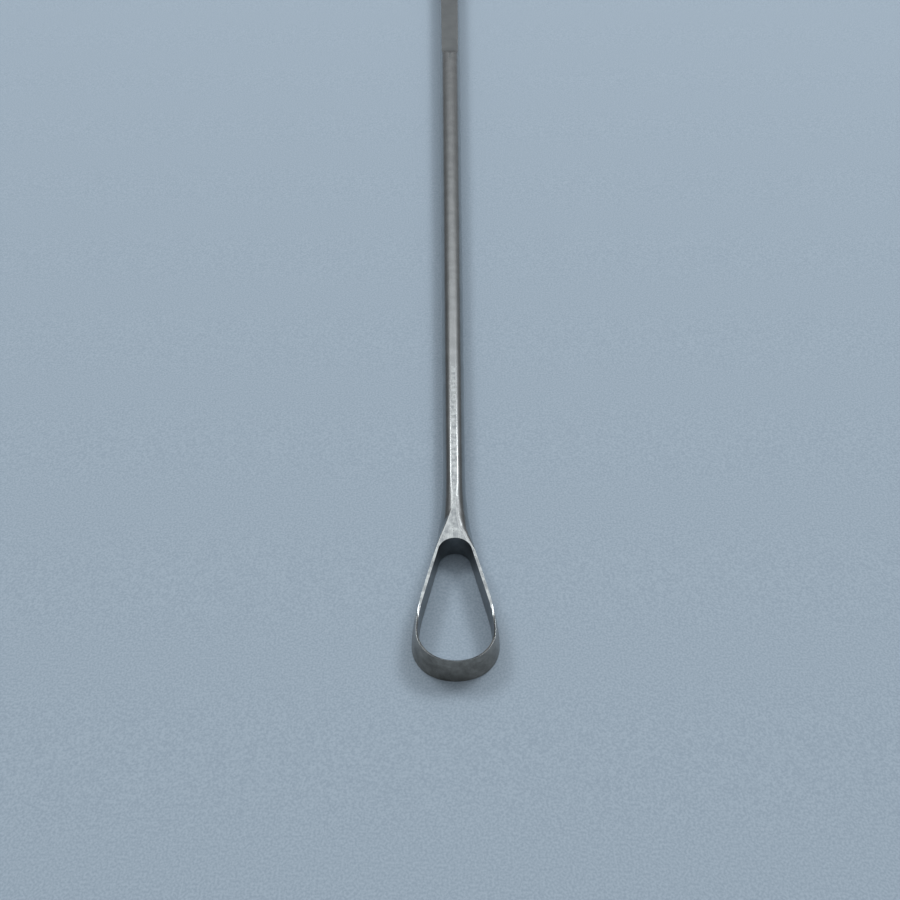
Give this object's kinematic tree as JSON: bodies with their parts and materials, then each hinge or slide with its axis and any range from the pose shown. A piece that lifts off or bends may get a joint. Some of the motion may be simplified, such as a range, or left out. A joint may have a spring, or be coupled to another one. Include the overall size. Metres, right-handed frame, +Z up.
{
  "type": "loop curette",
  "caption": "Long straight steel hand tool with a teardrop loop sharpened on its upper rim, a conical shaft, a notched thumb rest and a hollow handle.",
  "frame": {"origin": "on the plane of the handle's underside, under the middle of the tool's length and width", "axes": "+Y along the shaft from the loop to the handle, +Z up out of the loop's sharp rim, +X to the right when looking from the loop to the handle"},
  "size_m": [0.0126, 0.29, 0.008],
  "materials": {
    "forged_steel": "ground and satin polished, bright on the ground faces of the neck and on the rim",
    "handle_steel": "satin, brushed along the handle",
    "pin_steel": "peened and dressed flush"
  },
  "bodies": {
    "root": {"loop_and_shaft": "forged_steel", "thumb_rest": "forged_steel", "front_bolster": "handle_steel", "upper_handle_shell": "handle_steel", "lower_handle_shell": "handle_steel", "end_plug": "handle_steel", "tang_pin": "pin_steel"}
  },
  "joints": []
}
